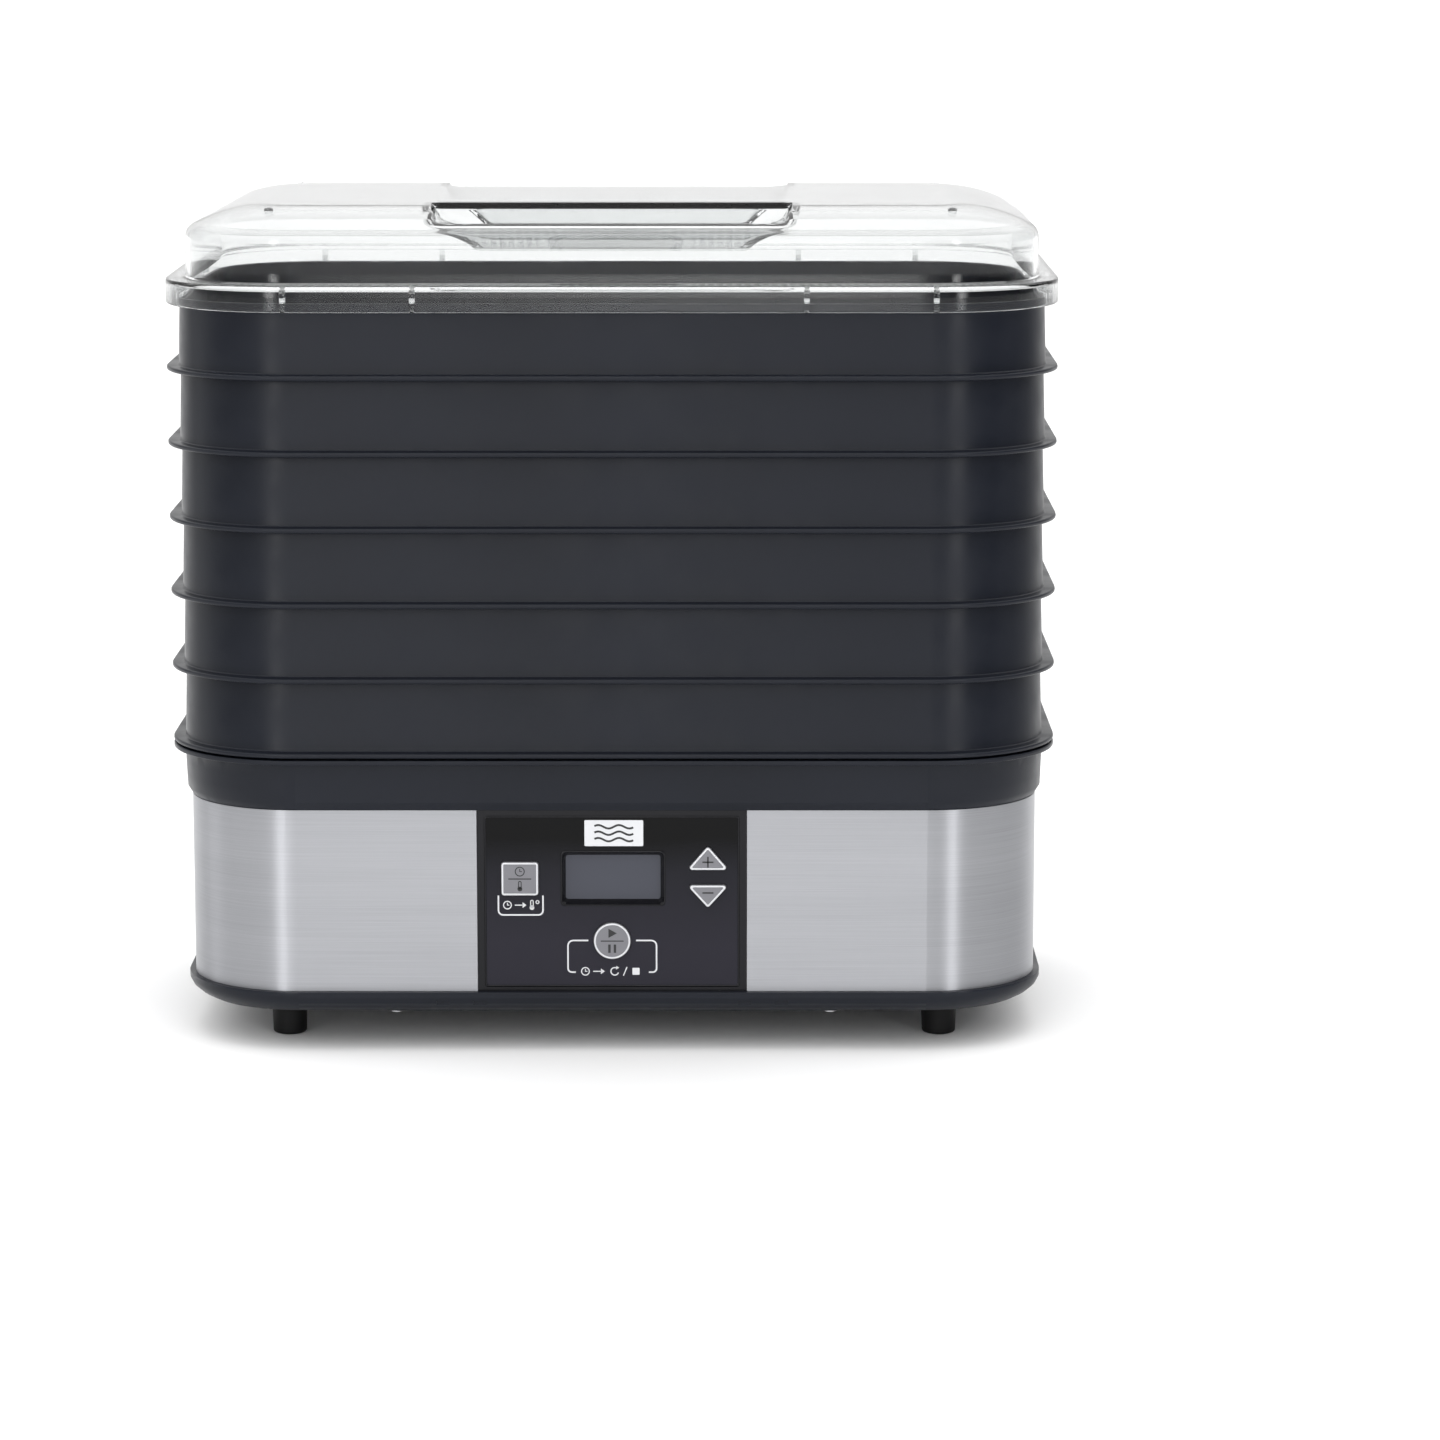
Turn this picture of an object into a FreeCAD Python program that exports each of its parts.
"""Countertop food dehydrator: six stacking trays under a clear lid, on a base with a fan and a heater.

Millimetres. The origin is the middle of the footprint on the plane the feet stand on.
+Z is up, the control panel faces -Y, and +X is to the right of someone facing the panel.
Most outlines are one rounded rectangle, the flange outline, moved inward by an inset.
"""
import FreeCAD, Part
import math
import os

os.makedirs("parts", exist_ok=True)

V = FreeCAD.Vector

# ---------------------------------------------------------------- driving dimensions
WIDTH = 437.0                # across the tray flanges and the lid's skirt
DEPTH = 265.0
CORNER_R = 64.5              # plan radius of the flange outline

FIT = 0.3                    # gap of a loose fit
TOUCH = 0.05                 # gap between parts that rest on each other

FOOT_H = 18.7
FOOT_R_TOP = 8.9
FOOT_R_LOW = 8.3
FOOT_X = 161.9
FOOT_Y = 84.6
FOOT_RECESS_H = 8.0          # how deep the foot's screw sits

PLINTH_TOP = 29.6            # ledge that the steel band stands on
BAND_TOP = 120.0             # where the upper housing takes over
BASE_TOP = 147.0             # rim of the base, where the first tray sits
FLOOR_T = 3.0
FLOOR_TOP = FOOT_H + FLOOR_T

TRAY_COUNT = 6
TRAY_PITCH = 36.74
FLANGE_T = 2.4
FLANGE_ROUND = 0.7
RIM_Z = BASE_TOP + TRAY_COUNT * TRAY_PITCH    # rim of the top tray

# insets from the flange outline
PLINTH_INSET = 5.7
PLINTH_LEVELS = ((14.5, 0.0), (10.4, 2.2), (7.2, 5.0), (PLINTH_INSET, 8.0))   # inset, height above the feet
LOWER_WALL_IN = 11.6         # inside of the lower housing
UPPER_WALL_IN = 8.9          # inside of the upper housing
BAND_INSET = 8.7
BAND_T = 0.7
RIM_OUT = 6.8                # outside of a rim that a tray or the lid sits on
RIM_IN = 8.8
WALL_OUT = 5.8               # outside of a tray wall just above its flange
WALL_IN = 7.8
RIB_OUT = 9.4                # locating rib under a tray
RIB_IN = 11.2
RIB_H = 4.0

# tray floor
GRID_X = 13.2
GRID_Y = 12.5
GRID_COLUMNS = 15            # each side of the middle
GRID_ROWS = 9
HOLE_X = 10.6
HOLE_Y = 9.9
RING_R = 33.0                # collar round the central air hole
RING_T = 2.0
RING_H = 8.0

# drying sheets
SHEET_INSET = 12.0
SHEET_T = 1.0
SHEET_HOLE_R = 34.5
SHEET_GAP = 0.1
NOTCH_R = 13.0               # finger notch in each short side
LINER_EDGE_H = 9.0
LINER_RING_R = 37.0
LINER_RING_H = 13.0

# lid
SKIRT_LOW = 363.3
SHELF_TOP = 375.7
LID_T = 2.2
DOME_INSET = 9.8
DOME_SHOULDER = 395.0        # where the wall starts to turn in
DOME_EDGE = 401.9            # where the turned edge becomes the crowned top
DOME_TOP = 411.3
EDGE_IN = 6.8                # width of the turned edge
CROWN_IN = 34.0              # width of the sloping margin of the top
CROWN_STEPS = 5
RIB_XS = (-156.2, -94.3, 94.3, 156.2)
RIB_YS = (-38.0, 38.0)
POCKET_TOP_HX = 86.0         # finger pocket: half-width at its mouth and at its floor
POCKET_LOW_HX = 66.0
POCKET_OUTER_Y = 111.0       # from the middle, shallow end and deep end
POCKET_DEEP_Y = 70.5
POCKET_BACK_Y = 65.0
POCKET_SHALLOW_Z = 404.5
POCKET_DEEP_Z = 390.5
NUB_X = 165.0
NUB_Y = 96.0
NUB_Z = 407.6
NUB_R = 2.2

# control panel
PANEL_HX = 65.8
PANEL_LOW = PLINTH_TOP + 0.1
PANEL_HIGH = BAND_TOP - 0.1
PANEL_GAP_HX = 68.0          # the casing is open this far each side of the middle
PANEL_GAP_Y = -100.0
PANEL_FRONT = -123.3
PANEL_T = 3.0
PANEL_BACK = PANEL_FRONT + PANEL_T
RECESS_HX = 62.5
RECESS_LOW = 31.6
RECESS_HIGH = 117.2
RECESS_D = 0.8
OVERLAY_T = 0.5
OVERLAY_FRONT = PANEL_FRONT + RECESS_D - OVERLAY_T
LCD_X = 0.5
LCD_Z = 85.95
LCD_OUTER = (25.65, 13.8)    # half-sizes of the well's mouth
LCD_INNER = (23.2, 11.0)     # half-sizes of the visible glass
LCD_DEEP = 4.0
WINDOW_T = 1.2
BUTTON_PROUD = 1.5
BUTTON_TRAVEL = 1.0
BUTTON_CLEAR = 0.3
BOARD_FRONT = -110.0
BOARD_T = 1.6
BOARD_HX = 61.5
BOARD_LOW = 35.0
BOARD_HIGH = 116.0
BOARD_SCREWS = ((-57.5, 39.0), (57.5, 39.0), (-57.5, 112.0), (57.5, 112.0))
SWITCH_TIP = -114.6
BADGE_X, BADGE_Z, BADGE_HX, BADGE_HZ, BADGE_T = 1.0, 108.6, 14.35, 6.45, 0.6
MODE_X, MODE_Z, MODE_HX, MODE_HZ = -45.0, 85.95, 9.1, 8.35
START_X, START_Z, START_R = 0.0, 54.9, 9.1
PLUS_POINTS = ((36.4, 90.3), (57.4, 90.3), (46.9, 102.4))
MINUS_POINTS = ((36.4, 82.9), (46.9, 71.3), (57.4, 82.9))
PLUS_MID_Z = 94.3
MINUS_MID_Z = 79.0
KEY_CORNER_R = 1.3

# base interior
DECK_LOW = 137.0
DECK_TOP = 139.5
DECK_RIB_LOW = 130.0
DECK_RIB_T = 1.6
OUTLET_R = 74.0
GRILLE_SLOT_RS = (13.0, 20.5, 28.0, 35.5, 43.0, 50.5, 58.0, 65.0)
GRILLE_SLOT_W = 5.0
SPOKE_T = 3.2
POSTS = ((-130.0, -106.0), (130.0, -106.0), (-130.0, 106.0), (130.0, 106.0), (-190.0, 0.0), (190.0, 0.0))
POST_R = 5.0
POST_SPLIT = 62.0            # height where lower and upper posts meet
COVER_HX = 115.0
COVER_HY = 115.5
COVER_R = 8.0
COVER_TOP = FOOT_H + 1.0
COVER_LOW = COVER_TOP - 2.0
COVER_SCREWS = ((-107.0, -108.0), (107.0, -108.0), (-107.0, 108.0), (107.0, 108.0))
INTAKE_R = 62.0
INTAKE_PITCH = 9.0           # from one intake slot to the next
DUCT_R = 66.0
DUCT_T = 2.0
SHELF_TOP_Z = 32.0           # shelves in the duct that carry the motor mount
MOUNT_SCREW_X = 62.5
MOUNT_TOP = 33.6
BRACKET_LOW = 37.0
BRACKET_T = 2.0
BRACKET_HX = 8.0
BRACKET_HY = 21.0
BRACKET_LEG_T = 2.5
MOTOR_SCREW_Y = 13.5
MOTOR_LOW = 52.0
MOTOR_HIGH = 68.0
BRACKET_HIGH = MOTOR_HIGH + MOTOR_LOW - BRACKET_LOW
SHAFT_R = 2.5
ROTOR_R = 12.9
BEARING_R = 5.5
BEARING_H = 5.0
SEAT_H = 6.0                 # height of the bearing's seat
FAN_LOW = 84.0
FAN_HIGH = 100.0
FAN_TIP_R = 58.0
FAN_BLADES = 7
HEATER_LOW = 103.6
HEATER_HIGH = 120.0
HEATER_Z = 112.0
COIL_RS = (30.0, 42.0, 54.0)
COIL_TUBE_R = 2.5
PROBE_X = 20.0               # the thermistor above the heater
PROBE_Z = 128.0
HEATER_LEAD_Y = 12.0
MOTOR_LEAD_Y = -8.0
MOTOR_LEAD_Z = 47.0
GLAND_X = -105.0
GLAND_Z = 52.0
GLAND_HOLE_R = 7.0
GLAND_FLANGE_R = 9.5
POWER_BOARD = (-176.0, -85.0, -74.0, 74.0)
POWER_BOARD_Z = 31.0
POWER_BOARD_TOP = POWER_BOARD_Z + BOARD_T
CORNER_HOLE = 5.0            # from the power board's edges to its screw holes


# ---------------------------------------------------------------- helpers
def save(name, shape):
    shape.exportStep("parts/" + name + ".step")
    print(f"{name:22s} solids {len(shape.Solids):3d} valid {shape.isValid()} volume {shape.Volume:10.1f}")


def rounded_rect(hx, hy, r, z, cx=0.0, cy=0.0):
    """Rounded rectangle wire in the plane at height z."""
    k = r * (1 - math.sqrt(0.5))
    edges = []
    for sx, sy in ((1, -1), (1, 1), (-1, 1), (-1, -1)):
        across = V(cx + sx * (hx - r), cy + sy * hy, z)
        middle = V(cx + sx * (hx - k), cy + sy * (hy - k), z)
        along = V(cx + sx * hx, cy + sy * (hy - r), z)
        ends = (across, along) if sx * sy < 0 else (along, across)
        if edges:
            edges.append(Part.LineSegment(edges[-1].Vertexes[-1].Point, ends[0]).toShape())
        edges.append(Part.Arc(ends[0], middle, ends[1]).toShape())
    edges.append(Part.LineSegment(edges[-1].Vertexes[-1].Point, edges[0].Vertexes[0].Point).toShape())
    return Part.Wire(edges)


def outline(inset, z):
    """The flange outline, moved inward by inset."""
    return rounded_rect(WIDTH / 2 - inset, DEPTH / 2 - inset, CORNER_R - inset, z)


def stack(levels):
    """Solid through (inset, z) levels of the flange outline."""
    return Part.makeLoft([outline(inset, z) for inset, z in levels], True, True)


def slab(inset, low, high):
    return Part.Face(outline(inset, low)).extrude(V(0, 0, high - low))


def ring(outer, inner, low, high):
    return slab(outer, low, high).cut(slab(inner, low, high))


def box(x0, x1, y0, y1, z0, z1):
    return Part.makeBox(x1 - x0, y1 - y0, z1 - z0, V(x0, y0, z0))


def rounded_plate(hx, hy, r, low, high, cx=0.0, cy=0.0):
    return Part.Face(rounded_rect(hx, hy, r, low, cx, cy)).extrude(V(0, 0, high - low))


def post(r, low, high, x=0.0, y=0.0):
    return Part.makeCylinder(r, high - low, V(x, y, low))


def tube(outer, inner, low, high, x=0.0, y=0.0):
    return post(outer, low, high, x, y).cut(post(inner, low, high, x, y))


def rod_x(r, x0, x1, y, z):
    """Cylinder along X."""
    return Part.makeCylinder(r, x1 - x0, V(x0, y, z), V(1, 0, 0))


def rod_y(r, y0, y1, x, z):
    """Cylinder along Y."""
    return Part.makeCylinder(r, y1 - y0, V(x, y0, z), V(0, 1, 0))


def facing(hx, hz, r, y0, y1, x, z):
    """Rounded plate that faces the front, between y0 and y1."""
    plate = rounded_plate(hx, hz, r, 0, y1 - y0)
    plate.rotate(V(), V(1, 0, 0), 90)
    return plate.translated(V(x, y1, z))


def fuse(first, *others):
    return first.multiFuse(list(others)).removeSplitter()


def spread(a, b):
    """Two bounds with the lower one first."""
    return min(a, b), max(a, b)


def mirrored(x, y):
    """The four places at plus and minus x and y."""
    return [(sx * x, sy * y) for sx in (-1, 1) for sy in (-1, 1)]


FEET = mirrored(FOOT_X, FOOT_Y)
LARGE_HEAD = (3.6, 2.2)      # radius and height of a screw's head
SMALL_HEAD = (3.0, 1.6)


def screws(places, head_r, head_h, shank_r, low, high):
    """Pan-head screws that point up: head under low, shank from low to high."""
    slot_l, slot_t, slot_d = 2.0, 0.4, 0.8
    made = []
    for x, y in places:
        bottom = low - head_h
        head = post(head_r, bottom, low, x, y)
        drive = box(x - slot_t, x + slot_t, y - slot_l, y + slot_l, bottom, bottom + slot_d)
        cross = box(x - slot_l, x + slot_l, y - slot_t, y + slot_t, bottom, bottom + slot_d)
        made.append(head.cut(drive).cut(cross).fuse(post(shank_r, low, high, x, y)).removeSplitter())
    return Part.makeCompound(made)


def lead(points, r, bend):
    """Wire along straight runs joined by tangent arcs."""
    points = [V(*p) for p in points]
    edges = []
    start = points[0]
    for before, corner, after in zip(points, points[1:], points[2:]):
        back = (before - corner).normalize()
        on = (after - corner).normalize()
        half = back.getAngle(on) / 2
        room = 0.45 * min((before - corner).Length, (after - corner).Length)
        reach = min(bend / math.tan(half), room)
        radius = reach * math.tan(half)
        centre = corner + (back + on).normalize() * (radius / math.sin(half))
        middle = centre + (corner - centre).normalize() * radius
        edges.append(Part.LineSegment(start, corner + back * reach).toShape())
        edges.append(Part.Arc(corner + back * reach, middle, corner + on * reach).toShape())
        start = corner + on * reach
    edges.append(Part.LineSegment(start, points[-1]).toShape())
    spine = Part.Wire(edges)
    section = Part.Wire([Part.Circle(points[0], points[1] - points[0], r).toShape()])
    return spine.makePipeShell([section], True, False)


# ---------------------------------------------------------------- lid
def dome_levels(thick):
    """(inset, z) levels of the dome, thick inside its outer face: wall, turned edge, crowned top."""
    levels = [(DOME_INSET + thick, SHELF_TOP - thick - 3.0)]
    for step in range(4):
        turn = math.pi / 2 * step / 4
        inset = DOME_INSET + thick + EDGE_IN * (1 - math.cos(turn))
        levels.append((inset, DOME_SHOULDER - thick + (DOME_EDGE - DOME_SHOULDER) * math.sin(turn)))
    for step in range(CROWN_STEPS + 1):
        part_way = step / CROWN_STEPS
        rise = (DOME_TOP - DOME_EDGE) * (1 - (1 - part_way) ** 2)
        levels.append((DOME_INSET + thick + EDGE_IN + CROWN_IN * part_way, DOME_EDGE - thick + rise))
    return levels


def finger_pocket(side, grow):
    """Tapering scoop in the lid's top, its deep end towards the middle. side is -1 in front, +1 behind."""
    above = DOME_TOP + 5
    sections = []
    for x, shallow, deep in (
        (-POCKET_TOP_HX - grow, POCKET_SHALLOW_Z + 2.5, POCKET_SHALLOW_Z + 1.5),
        (-POCKET_LOW_HX - 7 - grow, POCKET_SHALLOW_Z, POCKET_DEEP_Z + 8),
        (-POCKET_LOW_HX - grow, POCKET_SHALLOW_Z - 0.5, POCKET_DEEP_Z),
        (POCKET_LOW_HX + grow, POCKET_SHALLOW_Z - 0.5, POCKET_DEEP_Z),
        (POCKET_LOW_HX + 7 + grow, POCKET_SHALLOW_Z, POCKET_DEEP_Z + 8),
        (POCKET_TOP_HX + grow, POCKET_SHALLOW_Z + 2.5, POCKET_SHALLOW_Z + 1.5),
    ):
        corners = [
            V(x, side * (POCKET_OUTER_Y + grow), above),
            V(x, side * (POCKET_OUTER_Y + grow), shallow - grow),
            V(x, side * (POCKET_DEEP_Y - grow), deep - grow),
            V(x, side * (POCKET_BACK_Y - grow), above),
        ]
        sections.append(Part.makePolygon(corners + corners[:1]))
    return Part.makeLoft(sections, True, True)


def lid_ribs():
    """Small ribs inside the skirt: they stand on the top tray's rim and hold the skirt clear of its wall."""
    half = 1.5
    top = SHELF_TOP - 1.5
    tip = RIM_OUT - 0.4          # inset where the hanging tip ends and the seat begins
    ribs = []
    for start, end, low in ((1.5, tip, SKIRT_LOW + 0.8), (tip, DOME_INSET, RIM_Z)):
        for side in (-1, 1):
            for x in RIB_XS:
                near, far = spread(side * (DEPTH / 2 - start), side * (DEPTH / 2 - end))
                ribs.append(box(x - half, x + half, near, far, low, top))
            for y in RIB_YS:
                near, far = spread(side * (WIDTH / 2 - start), side * (WIDTH / 2 - end))
                ribs.append(box(near, far, y - half, y + half, low, top))
    return ribs


def make_lid():
    outer = fuse(stack([(0.0, SKIRT_LOW), (0.0, SHELF_TOP)]), stack(dome_levels(0.0)))
    inner = stack([(LID_T, SKIRT_LOW - 1), (LID_T, SHELF_TOP - LID_T)]).fuse(stack(dome_levels(LID_T)))
    for side in (-1, 1):
        outer = outer.cut(finger_pocket(side, 0.0))
        inner = inner.cut(finger_pocket(side, LID_T))
    shell = outer.cut(inner)
    nubs = [Part.makeSphere(NUB_R, V(x, y, NUB_Z)).cut(inner) for x, y in mirrored(NUB_X, NUB_Y)]
    return shell.multiFuse(lid_ribs()).multiFuse(nubs)


# ---------------------------------------------------------------- trays and sheets
def grid_holes():
    """Square air holes of a tray floor, kept off the rim and off the central collar."""
    holes = []
    corner_x = WIDTH / 2 - CORNER_R
    corner_y = DEPTH / 2 - CORNER_R
    for i in range(-GRID_COLUMNS, GRID_COLUMNS + 1):
        for j in range(-GRID_ROWS, GRID_ROWS + 1):
            x = i * GRID_X
            y = j * GRID_Y
            far_x = abs(x) + HOLE_X / 2
            far_y = abs(y) + HOLE_Y / 2
            past_corner = math.hypot(max(far_x - corner_x, 0), max(far_y - corner_y, 0))
            if past_corner > CORNER_R - RIB_IN - 1.5:
                continue
            near_ring = math.hypot(max(abs(x) - HOLE_X / 2, 0), max(abs(y) - HOLE_Y / 2, 0))
            if near_ring < RING_R + 1.5:
                continue
            corners = [V(x + sx * HOLE_X / 2, y + sy * HOLE_Y / 2, 0) for sx, sy in
                       ((-1, -1), (1, -1), (1, 1), (-1, 1))]
            holes.append(Part.makePolygon(corners + corners[:1]))
    return holes


def make_tray():
    """One tray with its flange underside at height 0: flange, wall, locating rib, floor grid, collar."""
    middle = Part.Wire([Part.Circle(V(), V(0, 0, 1), RING_R - RING_T).toShape()])
    floor = Part.makeFace([outline(WALL_OUT + 1, 0), middle] + grid_holes(), "Part::FaceMakerBullseye")
    floor = floor.extrude(V(0, 0, FLANGE_T))
    flange = slab(0.0, 0.0, FLANGE_T).cut(slab(WALL_OUT + 1, 0.0, FLANGE_T))
    rounded = [e for e in flange.Edges if on_outline(e)]
    flange = flange.makeFillet(FLANGE_ROUND, rounded)
    wall = stack([(WALL_OUT, 0.0), (RIM_OUT, TRAY_PITCH)]).cut(stack([(WALL_IN, 0.0), (RIM_IN, TRAY_PITCH)]))
    wall = wall.cut(slab(0.0, 0.0, FLANGE_T))
    rib = ring(RIB_OUT, RIB_IN, -RIB_H, 0.0)
    collar = tube(RING_R, RING_R - RING_T, FLANGE_T, FLANGE_T + RING_H)
    return fuse(flange, floor, wall, rib, collar)


def on_outline(edge):
    """True for an edge on the outermost outline that lies flat."""
    middle = edge.valueAt((edge.FirstParameter + edge.LastParameter) / 2)
    flat = edge.BoundBox.ZLength < 1e-6
    dx = max(abs(middle.x) - (WIDTH / 2 - CORNER_R), 0)
    dy = max(abs(middle.y) - (DEPTH / 2 - CORNER_R), 0)
    return flat and abs(math.hypot(dx, dy) - CORNER_R) < 0.01


def sheet_outline(grow, z):
    return outline(SHEET_INSET + grow, z)


def side_notches(r, low, high):
    return [post(r, low, high, side * (WIDTH / 2 - SHEET_INSET + 3), 0.0) for side in (-1, 1)]


def make_mesh_sheet(base):
    """Flexible drying mesh, plain here: its open weave is finer than the part needs."""
    sheet = Part.Face(sheet_outline(0.0, base)).extrude(V(0, 0, SHEET_T))
    sheet = sheet.cut(post(SHEET_HOLE_R, base - 1, base + 3))
    return sheet.cut(Part.makeCompound(side_notches(NOTCH_R, base - 1, base + 3)))


def make_liner(base):
    """Solid liner for purees: shallow pan with a raised edge, a stepped centre collar and finger notches."""
    high = base + LINER_EDGE_H
    pan = Part.makeLoft([sheet_outline(2.0, base), sheet_outline(0.0, high)], True, True)
    inner_edges = [sheet_outline(2.0 + SHEET_T, base + SHEET_T), sheet_outline(SHEET_T, high + 0.01)]
    inside = Part.makeLoft(inner_edges, True, True)
    notches = side_notches(NOTCH_R, base - 1, high + 3)
    notch_walls = side_notches(NOTCH_R + SHEET_T, base, high)
    walls = Part.makeCompound(notch_walls).common(pan)
    pan = pan.cut(inside).fuse(walls).cut(Part.makeCompound(notches))
    pan = pan.cut(post(SHEET_HOLE_R, base - 1, base + 20))
    collar = tube(SHEET_HOLE_R + SHEET_T, SHEET_HOLE_R, base, base + LINER_RING_H)
    step = tube(LINER_RING_R + SHEET_T, SHEET_HOLE_R, base, base + 0.5 * LINER_RING_H)
    hollow = tube(LINER_RING_R, SHEET_HOLE_R + SHEET_T, base + SHEET_T, base + 0.5 * LINER_RING_H - SHEET_T)
    return pan.fuse(step.cut(hollow)).fuse(collar).removeSplitter()


# ---------------------------------------------------------------- casing of the base
def panel_gap(low, high):
    """Room in the casing's front for the control panel."""
    return box(-PANEL_GAP_HX, PANEL_GAP_HX, -DEPTH / 2, PANEL_GAP_Y, low, high)


def deck_ribs():
    """Stiffening ribs under the deck, clear of the outlet."""
    high = DECK_LOW + 1
    half = DECK_RIB_T / 2
    ribs = []
    for side in (-1, 1):
        for x in (-96.0, 96.0):
            ribs.append(box(x - half, x + half, *spread(side * 78, side * 118), DECK_RIB_LOW, high))
        for y in (-60.0, 60.0):
            ribs.append(box(*spread(side * 84, side * 206), y - half, y + half, DECK_RIB_LOW, high))
    return ribs


def make_upper_housing():
    neck = BAND_TOP + 4.0        # above this the wall stands straight
    flange_low = BASE_TOP - FLANGE_T - 1.0
    flange_top = BASE_TOP - 1.0
    skin = stack([(BAND_INSET + 0.2, BAND_TOP), (RIM_OUT - 0.4, neck), (5.6, flange_low), (5.6, flange_top)])
    flange = slab(0.0, flange_low, flange_top)
    flange = flange.makeFillet(FLANGE_ROUND, [e for e in flange.Edges if on_outline(e)])
    rim = slab(RIM_OUT, flange_top - 1.0, BASE_TOP)
    under = stack([(11.0, BAND_TOP), (UPPER_WALL_IN, neck), (UPPER_WALL_IN, DECK_LOW)])
    well = slab(RIM_IN, DECK_TOP, BASE_TOP)
    body = fuse(skin, flange, rim).cut(under).cut(well).cut(post(OUTLET_R, DECK_LOW, DECK_TOP))
    lip_out = BAND_INSET + BAND_T + FIT
    lip = ring(lip_out, lip_out + 2.0, BAND_TOP - 6.0, neck + 0.5).cut(panel_gap(BAND_TOP - 7, BAND_TOP + 5))
    posts = [post(POST_R, POST_SPLIT, DECK_LOW + 1, x, y) for x, y in POSTS]
    body = fuse(body, lip, *posts, *deck_ribs())
    holes = [post(1.6, POST_SPLIT - 1, POST_SPLIT + 24, x, y) for x, y in POSTS]
    return body.cut(Part.makeCompound(holes))


def make_outlet_grille():
    """Round guard over the fan, set in the deck: concentric rings on eight spokes."""
    disc = fuse(post(OUTLET_R - FIT, DECK_LOW + 0.2, DECK_TOP), post(OUTLET_R + 4, DECK_TOP, DECK_TOP + 1.0))
    slots = [tube(r + GRILLE_SLOT_W, r, DECK_LOW, DECK_TOP + 2) for r in GRILLE_SLOT_RS]
    spokes = []
    for turn in range(4):
        spoke = box(-OUTLET_R, OUTLET_R, -SPOKE_T / 2, SPOKE_T / 2, DECK_LOW, DECK_TOP + 2)
        spoke.rotate(V(), V(0, 0, 1), 45.0 * turn)
        spokes.append(spoke)
    openings = Part.makeCompound(slots).cut(Part.makeCompound(spokes))
    return disc.cut(openings)


def make_steel_band():
    """Brushed sheet wrapped round the base. Its two ends fold in beside the panel."""
    low = PLINTH_TOP + TOUCH
    high = BAND_TOP - TOUCH
    end_x = PANEL_HX + 0.2
    face = -DEPTH / 2 + BAND_INSET
    band = ring(BAND_INSET, BAND_INSET + BAND_T, low, high)
    band = band.cut(box(-end_x, end_x, -DEPTH / 2, PANEL_GAP_Y, 0, BASE_TOP))
    folds = [box(x, x + BAND_T, face + BAND_T / 2, face + 5.0, low, high) for x in (-end_x - BAND_T, end_x)]
    return fuse(band, *folds).cut(rod_y(GLAND_HOLE_R, 110, 130, GLAND_X, GLAND_Z))


def board_posts():
    """Places of the power board's screw holes."""
    x0, x1, y0, y1 = POWER_BOARD
    inner = CORNER_HOLE
    return [(x, y) for x in (x0 + inner, x1 - inner) for y in (y0 + inner, y1 - inner)]


def make_lower_housing():
    levels = [(inset, FOOT_H + up) for inset, up in PLINTH_LEVELS]
    shell = stack(levels + [(PLINTH_INSET, PLINTH_TOP)])
    lip_top = PLINTH_TOP + 6.0
    lip = ring(BAND_INSET + BAND_T + 0.2, LOWER_WALL_IN, PLINTH_TOP - 1, lip_top)
    lip = lip.cut(panel_gap(PLINTH_TOP - 1, lip_top))
    body = fuse(shell, lip).cut(slab(LOWER_WALL_IN, FLOOR_TOP, lip_top))
    body = body.cut(rounded_plate(COVER_HX, COVER_HY, COVER_R, FOOT_H - 1, COVER_TOP))
    body = body.cut(post(INTAKE_R, FOOT_H, FLOOR_TOP + 1))
    root = FLOOR_TOP - 0.5
    bosses = [post(POST_R, root, 31.5, x, y) for x, y in FEET]
    bosses += [post(POST_R, root, POST_SPLIT - 0.1, x, y) for x, y in POSTS]
    bosses += [post(3.5, root, 30.0, x, y) for x, y in COVER_SCREWS]
    bosses += [post(3.5, root, POWER_BOARD_Z, x, y) for x, y in board_posts()]
    body = fuse(body, *bosses)
    holes = [post(2.0, FOOT_H - 1, 30, x, y) for x, y in FEET]
    holes += [post(2.0, FOOT_H - 1, POST_SPLIT, x, y) for x, y in POSTS]
    holes += [post(4.0, FOOT_H - 1, FOOT_H + 6, x, y) for x, y in POSTS]
    holes += [post(1.4, COVER_TOP - 1, 29, x, y) for x, y in COVER_SCREWS]
    holes += [post(1.3, POWER_BOARD_Z - 5, POWER_BOARD_Z + 1, x, y) for x, y in board_posts()]
    front = -DEPTH / 2 + PLINTH_INSET
    notches = [box(x - 3.2, x + 3.2, front - 1, front + 2.4, FOOT_H + 3.2, FOOT_H + 6.4)
               for x in (-83.0, -65.0, 65.0, 83.0)]
    return body.cut(Part.makeCompound(holes + notches))


def make_bottom_cover():
    plate = rounded_plate(COVER_HX - FIT, COVER_HY - FIT, COVER_R - FIT, COVER_LOW, COVER_TOP)
    below = COVER_LOW - 1
    above = COVER_TOP + 1
    slots = []
    for row in range(-6, 7):
        y = row * INTAKE_PITCH
        reach = math.sqrt(58.0 ** 2 - y ** 2) - 4
        slots.append(rounded_plate(reach, 2.4, 2.39, below, above, 0.0, y))
    bridge = box(-2.0, 2.0, -70, 70, below, above)
    holes = [post(1.7, below, above, x, y) for x, y in COVER_SCREWS]
    return plate.cut(Part.makeCompound(slots).cut(bridge)).cut(Part.makeCompound(holes))


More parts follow.
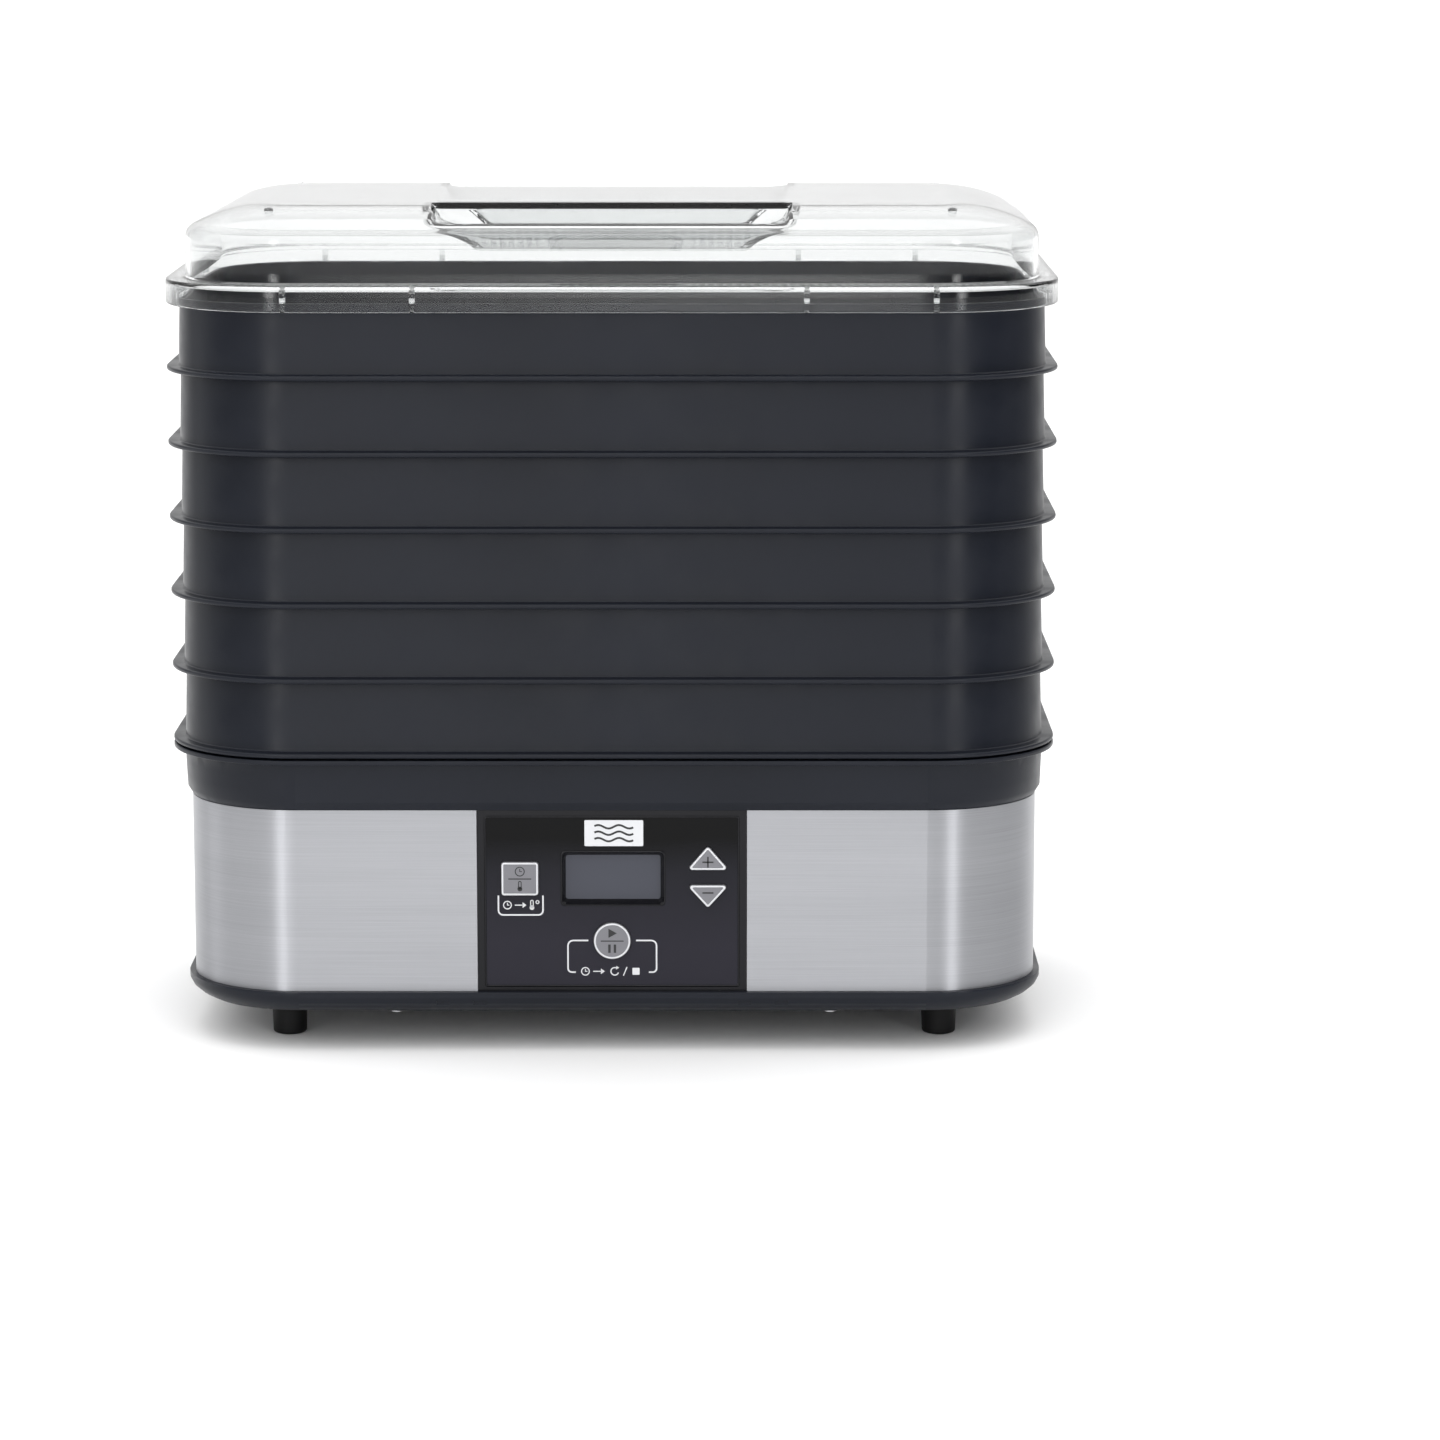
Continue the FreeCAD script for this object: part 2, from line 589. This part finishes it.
def make_foot(x, y):
    foot = Part.makeCone(FOOT_R_LOW, FOOT_R_TOP, FOOT_H, V(x, y, 0))
    low_edge = [e for e in foot.Edges if e.BoundBox.ZMax < 0.01]
    foot = foot.makeFillet(1.5, low_edge)
    recess = post(4.2, -1, FOOT_RECESS_H, x, y)
    return foot.cut(recess).cut(post(2.1, FOOT_RECESS_H - 1, FOOT_H + 1, x, y))


# ---------------------------------------------------------------- control panel
def key_wire(points):
    """Rounded triangle in the XZ plane at y = 0."""
    corners = [V(x, 0, z) for x, z in points]
    edges = []
    count = len(corners)
    for k in range(count):
        before, corner, after = corners[k - 1], corners[k], corners[(k + 1) % count]
        back = (before - corner).normalize()
        on = (after - corner).normalize()
        half = back.getAngle(on) / 2
        reach = KEY_CORNER_R / math.tan(half)
        centre = corner + (back + on).normalize() * (KEY_CORNER_R / math.sin(half))
        middle = centre + (corner - centre).normalize() * KEY_CORNER_R
        edges.append(Part.Arc(corner + back * reach, middle, corner + on * reach).toShape())
    joined = []
    for k in range(count):
        joined.append(edges[k])
        start = edges[k].Vertexes[-1].Point
        end = edges[(k + 1) % count].Vertexes[0].Point
        joined.append(Part.LineSegment(start, end).toShape())
    return Part.Wire(joined)


def key_prism(points, grow, y0, y1):
    wire = key_wire(points)
    if grow:
        wire = wire.makeOffset2D(grow)
    return Part.Face(wire).extrude(V(0, y1 - y0, 0)).translated(V(0, y0, 0))


def key_shape(name, grow, y0, y1):
    """Outline of one key, grown and extruded from y0 to y1."""
    if name == "mode_button":
        return facing(MODE_HX + grow, MODE_HZ + grow, 1.5 + grow, y0, y1, MODE_X, MODE_Z)
    if name == "start_button":
        return rod_y(START_R + grow, y0, y1, START_X, START_Z)
    points = PLUS_POINTS if name == "plus_button" else MINUS_POINTS
    return key_prism(points, grow, y0, y1)


KEYS = {
    "mode_button": (MODE_X, MODE_Z),
    "start_button": (START_X, START_Z),
    "plus_button": (46.9, PLUS_MID_Z),
    "minus_button": (46.9, MINUS_MID_Z),
}


def make_button(name):
    """Key cap through the panel, with a retaining flange behind it and a stem towards its switch."""
    x, z = KEYS[name]
    cap = key_shape(name, 0.0, OVERLAY_FRONT - BUTTON_PROUD, PANEL_BACK + 0.2)
    front_edges = [e for e in cap.Edges if e.BoundBox.YMax < OVERLAY_FRONT - BUTTON_PROUD + 0.01]
    cap = cap.makeFillet(0.4, front_edges)
    flange = key_shape(name, BUTTON_CLEAR + 0.9, PANEL_BACK + 0.2, PANEL_BACK + 1.2)
    stem = rod_y(1.8, PANEL_BACK + 1.2, SWITCH_TIP - BUTTON_TRAVEL - 0.1, x, z)
    return fuse(cap, flange, stem)


def well(outer, inner, y0, y1):
    """Tapered rectangular well between two facing rectangles."""
    wires = []
    for (hx, hz), y, r in ((outer, y0, 2.0), (inner, y1, 1.4)):
        wire = rounded_rect(hx, hz, r, 0)
        wire.rotate(V(), V(1, 0, 0), 90)
        wires.append(wire.translated(V(LCD_X, y, LCD_Z)))
    return Part.makeLoft(wires, True, True)


def make_bezel():
    mid_z = (PANEL_LOW + PANEL_HIGH) / 2
    half_z = (PANEL_HIGH - PANEL_LOW) / 2
    plate = facing(PANEL_HX, half_z, 0.8, PANEL_FRONT, PANEL_BACK, 0, mid_z)
    recess = facing(RECESS_HX, (RECESS_HIGH - RECESS_LOW) / 2, 1.5, PANEL_FRONT - 1, PANEL_FRONT + RECESS_D,
                    0, (RECESS_HIGH + RECESS_LOW) / 2)
    frame = facing(LCD_OUTER[0] + 2.2, LCD_OUTER[1] + 2.2, 2.0, PANEL_BACK, PANEL_BACK + 2.4, LCD_X, LCD_Z)
    walls = [box(x, x + 1.6, PANEL_BACK, PANEL_BACK + 7, PANEL_LOW + 1, PANEL_HIGH - 1)
             for x in (-PANEL_HX, PANEL_HX - 1.6)]
    bosses = [rod_y(2.8, PANEL_BACK, BOARD_FRONT - TOUCH, x, z) for x, z in BOARD_SCREWS]
    tongues = [box(-58, 58, PANEL_BACK, PANEL_BACK + 1.5, low, high)
               for low, high in ((PANEL_HIGH - 3, PANEL_HIGH + 6), (PANEL_LOW - 6, PANEL_LOW + 3))]
    body = fuse(plate.cut(recess), frame, *walls, *bosses, *tongues)
    glass_y = PANEL_FRONT + LCD_DEEP
    body = body.cut(well(LCD_OUTER, LCD_INNER, OVERLAY_FRONT, glass_y))
    pocket = facing(LCD_INNER[0] + 2.2, LCD_INNER[1] + 2.2, 1.0, glass_y, PANEL_BACK + 3, LCD_X, LCD_Z)
    body = body.cut(pocket)
    for name in KEYS:
        body = body.cut(key_shape(name, BUTTON_CLEAR, PANEL_FRONT - 1, PANEL_BACK + 1))
    holes = [rod_y(1.1, BOARD_FRONT - 8, BOARD_FRONT, x, z) for x, z in BOARD_SCREWS]
    return body.cut(Part.makeCompound(holes))


def make_overlay():
    """Glossy film in the panel's recess, open round the keys and the display."""
    gap = 0.2
    film = facing(RECESS_HX - gap, (RECESS_HIGH - RECESS_LOW) / 2 - gap, 1.3, OVERLAY_FRONT,
                  OVERLAY_FRONT + OVERLAY_T, 0, (RECESS_HIGH + RECESS_LOW) / 2)
    film = film.cut(facing(LCD_OUTER[0], LCD_OUTER[1], 2.0, PANEL_FRONT, PANEL_BACK, LCD_X, LCD_Z))
    for name in KEYS:
        film = film.cut(key_shape(name, BUTTON_CLEAR, PANEL_FRONT - 1, PANEL_BACK + 1))
    return film


def make_control_board():
    mid_z = (BOARD_LOW + BOARD_HIGH) / 2
    board = facing(BOARD_HX, (BOARD_HIGH - BOARD_LOW) / 2, 1.0, BOARD_FRONT, BOARD_FRONT + BOARD_T, 0, mid_z)
    holes = [rod_y(1.5, BOARD_FRONT - 1, BOARD_FRONT + 3, x, z) for x, z in BOARD_SCREWS]
    back = BOARD_FRONT + BOARD_T
    chip = box(-8, 8, back, back + 2.2, 92, 104)
    plug = box(-37, -23, back, back + 7, 40, 47)
    return fuse(board.cut(Part.makeCompound(holes)), chip, plug)


def make_lcd_module():
    front = PANEL_FRONT + LCD_DEEP + WINDOW_T + FIT
    back = front + 3.0
    half = 0.3                   # of a square pin's width
    body = facing(LCD_OUTER[0] + 1.0, LCD_OUTER[1] + 0.6, 0.6, front, back, LCD_X, LCD_Z)
    pins = []
    for z in (LCD_Z - 12.5, LCD_Z + 12.5):
        for step in range(-20, 21, 5):
            x = LCD_X + step
            pins.append(box(x - half, x + half, back, BOARD_FRONT - TOUCH, z - half, z + half))
    return fuse(body, *pins)


def make_switches():
    made = []
    for x, z in KEYS.values():
        body = box(x - 3, x + 3, BOARD_FRONT - 3.5, BOARD_FRONT - TOUCH, z - 3, z + 3)
        made.append(fuse(body, rod_y(1.7, SWITCH_TIP, BOARD_FRONT - 3.5, x, z)))
    return Part.makeCompound(made)


def make_board_screws():
    back = BOARD_FRONT + BOARD_T
    made = [fuse(rod_y(2.4, back, back + 1.8, x, z), rod_y(1.05, BOARD_FRONT - 6, back, x, z))
            for x, z in BOARD_SCREWS]
    return Part.makeCompound(made)


# ---------------------------------------------------------------- fan, motor and heater
def make_duct():
    """Shroud that carries the air from the intake past fan and heater to the outlet."""
    top = DECK_LOW - 0.1
    ledge_top = HEATER_LOW - 0.1
    duct = tube(DUCT_R + DUCT_T, DUCT_R, FLOOR_TOP + 0.2, top)
    collar = tube(DUCT_R + 11, DUCT_R, top - 2.5, top)
    ledge = tube(DUCT_R + 0.5, DUCT_R - 3.5, ledge_top - 2.4, ledge_top)
    shelves = [box(x, x + 7.5, -9, 9, SHELF_TOP_Z - 4, SHELF_TOP_Z) for x in (-DUCT_R - 0.5, DUCT_R - 7.0)]
    duct = fuse(duct, collar, ledge, *shelves)
    holes = [rod_x(3.4, -DUCT_R - 6, -DUCT_R + 6, HEATER_LEAD_Y, HEATER_Z),
             rod_x(3.0, -DUCT_R - 6, -DUCT_R + 6, MOTOR_LEAD_Y, MOTOR_LEAD_Z),
             rod_y(2.2, -DUCT_R - 8, -DUCT_R + 8, PROBE_X, PROBE_Z)]
    holes += [post(1.4, SHELF_TOP_Z - 5, SHELF_TOP_Z + 1, x, 0) for x in (-MOUNT_SCREW_X, MOUNT_SCREW_X)]
    return duct.cut(Part.makeCompound(holes))


def make_motor_mount():
    """Steel strap across the duct that carries the motor."""
    low = SHELF_TOP_Z + TOUCH
    strap = fuse(box(-65, 65, -8, 8, low, MOUNT_TOP), box(-9, 9, -24, 24, low, MOUNT_TOP))
    strap = strap.common(post(DUCT_R - 0.4, low - 1, MOUNT_TOP + 1))
    places = [(-MOUNT_SCREW_X, 0), (MOUNT_SCREW_X, 0), (0, -MOTOR_SCREW_Y), (0, MOTOR_SCREW_Y)]
    holes = [post(1.7, low - 1, MOUNT_TOP + 1, x, y) for x, y in places]
    return strap.cut(Part.makeCompound(holes)).cut(post(4.0, low - 1, MOUNT_TOP + 1))


def make_motor_bracket(top):
    """Bridge over one end of the rotor, with the bearing's seat in its middle."""
    low, high = (MOTOR_HIGH, BRACKET_HIGH) if top else (BRACKET_LOW, MOTOR_LOW)
    bar_low = high - BRACKET_T if top else low
    seat_low = high - SEAT_H if top else low
    bore_r = BEARING_R + 0.02
    bar = box(-BRACKET_HX, BRACKET_HX, -BRACKET_HY, BRACKET_HY, bar_low, bar_low + BRACKET_T)
    legs = [box(-BRACKET_HX, BRACKET_HX, y, y + BRACKET_LEG_T, low, high)
            for y in (-BRACKET_HY, BRACKET_HY - BRACKET_LEG_T)]
    bracket = fuse(bar, *legs).cut(post(bore_r, low - 1, high + 1))
    bracket = fuse(bracket, tube(BEARING_R + 2, bore_r, seat_low, seat_low + SEAT_H))
    if top:
        return bracket
    holes = [post(1.7, low - 1, low + SEAT_H, 0, y) for y in (-MOTOR_SCREW_Y, MOTOR_SCREW_Y)]
    return bracket.cut(Part.makeCompound(holes))


def make_stator():
    """Lamination stack: bore for the rotor at one end, window and coil limb at the other."""
    below = MOTOR_LOW - 1
    above = MOTOR_HIGH + 1
    block = box(-50, 20, -22, 22, MOTOR_LOW + TOUCH, MOTOR_HIGH - TOUCH)
    window = box(-36, -18.5, -12, 12, below, above)
    return block.cut(post(ROTOR_R + 0.4, below, above)).cut(window)


def make_motor_coil():
    winding = box(-57, -28.5, -11, 11, 45, 75)
    return winding.cut(box(-50.3, -35.7, -12, 12, MOTOR_LOW - 0.3, MOTOR_HIGH + 0.3))


def make_bearings():
    lows = (BRACKET_LOW, BRACKET_HIGH - BEARING_H)
    return Part.makeCompound([tube(BEARING_R, SHAFT_R + 0.05, low, low + BEARING_H) for low in lows])


def make_rotor():
    core = tube(ROTOR_R, SHAFT_R + 0.01, MOTOR_LOW + 0.5, MOTOR_HIGH - 0.5)
    slots = [post(0.8, MOTOR_LOW, MOTOR_HIGH, 10.6 * math.cos(a), 10.6 * math.sin(a))
             for a in [2 * math.pi * k / 12 for k in range(12)]]
    return core.cut(Part.makeCompound(slots))


def blade_section(x, chord, pitch, thick):
    """Thin slanted rectangle across the radius, at distance x from the axis."""
    along = V(0, math.cos(pitch), math.sin(pitch)) * (chord / 2)
    across = V(0, -math.sin(pitch), math.cos(pitch)) * (thick / 2)
    middle = V(x, 0, (FAN_LOW + FAN_HIGH) / 2)
    corners = [middle - along - across, middle + along - across]
    corners += [middle + along + across, middle - along + across]
    return Part.makePolygon(corners + corners[:1])


def make_impeller():
    hub = post(14.0, FAN_LOW + 0.5, FAN_HIGH)
    hub = hub.cut(post(11.5, FAN_LOW, FAN_HIGH - 3.0)).fuse(post(5.0, FAN_LOW + 0.5, FAN_HIGH))
    blades = []
    for k in range(FAN_BLADES):
        blade = Part.makeLoft([
            blade_section(12.6, 16.0, math.radians(48), 1.8),
            blade_section(32.0, 26.0, math.radians(34), 1.6),
            blade_section(FAN_TIP_R, 34.0, math.radians(24), 1.3),
        ], True, True)
        blade.rotate(V(), V(0, 0, 1), 360.0 * k / FAN_BLADES)
        blades.append(blade)
    return fuse(hub, *blades).cut(post(SHAFT_R + 0.01, FAN_LOW - 1, FAN_HIGH - 1.0))


def make_heater_frame():
    """Two crossed mica plates with holes that carry the heating coils."""
    reach = DUCT_R - 1.0
    half = 0.5
    plates = fuse(box(-reach, reach, -half, half, HEATER_LOW, HEATER_HIGH),
                  box(-half, half, -reach, reach, HEATER_LOW, HEATER_HIGH))
    holes = []
    for r in COIL_RS:
        holes += [rod_y(COIL_TUBE_R + 0.5, -2, 2, x, HEATER_Z) for x in (-r, r)]
        holes += [rod_x(COIL_TUBE_R + 0.5, -2, 2, y, HEATER_Z) for y in (-r, r)]
    return plates.cut(Part.makeCompound(holes))


def make_heater_coil():
    return Part.makeCompound([Part.makeTorus(r, COIL_TUBE_R, V(0, 0, HEATER_Z)) for r in COIL_RS])


# ---------------------------------------------------------------- power electronics and wiring
def make_power_board():
    x0, x1, y0, y1 = POWER_BOARD
    board = box(x0, x1, y0, y1, POWER_BOARD_Z, POWER_BOARD_TOP)
    holes = [post(1.6, POWER_BOARD_Z - 1, POWER_BOARD_TOP + 1, x, y) for x, y in board_posts()]
    plug = box(-101, -89, -66, -54, POWER_BOARD_TOP, POWER_BOARD_TOP + 7)
    return fuse(board.cut(Part.makeCompound(holes)), plug)


def limb_box(half_x, y0, y1, low, high):
    """Box about the transformer's middle limb, with heights above the power board."""
    x = -152.0
    return box(x - half_x, x + half_x, y0, y1, POWER_BOARD_TOP + low, POWER_BOARD_TOP + high)


def make_transformer_core():
    windows = limb_box(11, -60, -10, 9, 27).cut(limb_box(4, -60, -10, 9, 27))
    return limb_box(18, -52, -22, 4, 32).cut(windows)


def make_transformer_winding():
    feet = [limb_box(8, y, y + 4, TOUCH, 10) for y in (-57.0, -21.0)]
    return fuse(limb_box(10.7, -57, -17, 9.3, 26.7), *feet).cut(limb_box(4.3, -60, -10, 9, 27))


def make_terminal_block():
    block = box(-145, -112, 48, 62, POWER_BOARD_TOP + TOUCH, POWER_BOARD_TOP + 14)
    wells = [post(2.4, POWER_BOARD_TOP + 6, POWER_BOARD_TOP + 15, x, 55) for x in (-139.5, -128.5, -117.5)]
    return block.cut(Part.makeCompound(wells))


def make_leads():
    """Wires inside the base, each with its two ends just clear of what it joins."""
    panel = [(-30, -101.2, 43.5), (-30, -92, 43), (-52, -86, 40), (-78, -80, 44), (-95, -70, 47),
             (-95, -60, 44), (-95, -60, 39.8)]
    heater = [(-128.5, 66.0, 43.0), (-120, 74, 46), (-100, 62, 62), (-86, 34, 86), (-80, 14, 108),
              (-72, HEATER_LEAD_Y, HEATER_Z), (-59.5, HEATER_LEAD_Y, HEATER_Z)]
    motor = [(-110, MOTOR_LEAD_Y, POWER_BOARD_TOP + 0.2), (-110, MOTOR_LEAD_Y, 42),
             (-98, MOTOR_LEAD_Y, MOTOR_LEAD_Z), (-57.4, MOTOR_LEAD_Y, MOTOR_LEAD_Z)]
    return {"panel_cable": lead(panel, 2.0, 9.0), "heater_leads": lead(heater, 2.2, 12.0),
            "motor_leads": lead(motor, 1.8, 8.0)}


def make_gland():
    """Bushing for the supply lead in the back of the steel band."""
    band = DEPTH / 2 - BAND_INSET
    neck_r = GLAND_HOLE_R - FIT
    neck = rod_y(neck_r, band - 8, band + 0.1, GLAND_X, GLAND_Z)
    flange = rod_y(GLAND_FLANGE_R, band + TOUCH, band + 2.4, GLAND_X, GLAND_Z)
    clip = rod_y(GLAND_FLANGE_R, band - 5, band - BAND_T - FIT, GLAND_X, GLAND_Z)
    return fuse(neck, flange, clip).cut(rod_y(3.8, band - 12, band + 5, GLAND_X, GLAND_Z))


# ---------------------------------------------------------------- write every sub-part
save("lid", make_lid())

tray = make_tray()
for level in range(TRAY_COUNT):
    save(f"tray_{level + 1}", tray.translated(V(0, 0, BASE_TOP + level * TRAY_PITCH)))

on_floor = FLANGE_T + SHEET_GAP
save("mesh_sheet", make_mesh_sheet(BASE_TOP + 5 * TRAY_PITCH + on_floor))
save("fruit_roll_sheet", make_liner(BASE_TOP + 4 * TRAY_PITCH + on_floor))

save("upper_housing", make_upper_housing())
save("outlet_grille", make_outlet_grille())
save("steel_band", make_steel_band())
save("lower_housing", make_lower_housing())
save("bottom_cover", make_bottom_cover())
for side_name, sx in (("left", -1), ("right", 1)):
    for end_name, sy in (("front", -1), ("rear", 1)):
        save(f"foot_{end_name}_{side_name}", make_foot(sx * FOOT_X, sy * FOOT_Y))
save("foot_screws", screws(FEET, *LARGE_HEAD, 1.9, FOOT_RECESS_H, 29.0))
save("housing_screws", screws(POSTS, *LARGE_HEAD, 1.5, FOOT_H + 6, 82.0))
save("cover_screws", screws(COVER_SCREWS, *SMALL_HEAD, 1.3, COVER_LOW, 28.0))

save("panel_bezel", make_bezel())
save("panel_overlay", make_overlay())
save("badge", facing(BADGE_HX, BADGE_HZ, 0.6, OVERLAY_FRONT - BADGE_T, OVERLAY_FRONT, BADGE_X, BADGE_Z))
save("lcd_window", facing(LCD_INNER[0] + 2.0, LCD_INNER[1] + 2.0, 0.9, PANEL_FRONT + LCD_DEEP,
                          PANEL_FRONT + LCD_DEEP + WINDOW_T, LCD_X, LCD_Z))
save("lcd_module", make_lcd_module())
save("control_board", make_control_board())
save("tact_switches", make_switches())
save("board_screws", make_board_screws())
for key in KEYS:
    save(key, make_button(key))

save("air_duct", make_duct())
save("motor_mount", make_motor_mount())
motor_screw_places = [(0, -MOTOR_SCREW_Y), (0, MOTOR_SCREW_Y)]
save("motor_grommets", Part.makeCompound([tube(4.5, 1.9, MOUNT_TOP + TOUCH, BRACKET_LOW - TOUCH, x, y)
                                          for x, y in motor_screw_places]))
motor_screws = screws(motor_screw_places, *SMALL_HEAD, 1.2, SHELF_TOP_Z, 41.0)
mount_screws = screws([(-MOUNT_SCREW_X, 0), (MOUNT_SCREW_X, 0)], *SMALL_HEAD, 1.2, SHELF_TOP_Z - 4.0, 37.0)
save("motor_screws", Part.makeCompound([motor_screws, mount_screws]))
save("lower_bracket", make_motor_bracket(False))
save("upper_bracket", make_motor_bracket(True))
save("motor_bearings", make_bearings())
save("motor_stator", make_stator())
save("motor_coil", make_motor_coil())
save("motor_shaft", post(SHAFT_R, BRACKET_LOW - 1.0, FAN_HIGH - 1.2))
save("motor_rotor", make_rotor())
save("fan_impeller", make_impeller())
save("heater_frame", make_heater_frame())
save("heater_coil", make_heater_coil())
save("thermostat", rod_y(7.0, 0.6, 6.6, 14.0, HEATER_Z))
save("thermal_fuse", rod_x(2.0, -22.0, -8.0, -2.7, HEATER_Z))
probe_tip = Part.makeSphere(2.1, V(PROBE_X, -58.0, PROBE_Z))
save("thermistor", fuse(rod_y(1.8, -76.0, -58.0, PROBE_X, PROBE_Z), probe_tip))

save("power_board", make_power_board())
save("transformer_core", make_transformer_core())
save("transformer_winding", make_transformer_winding())
board_top = POWER_BOARD_TOP + TOUCH
save("relay", box(-118, -98, -38, -22, board_top, board_top + 15))
save("capacitor", post(6.3, board_top, board_top + 21, -112, 14))
save("terminal_block", make_terminal_block())
save("cord_gland", make_gland())
for name, wire in make_leads().items():
    save(name, wire)
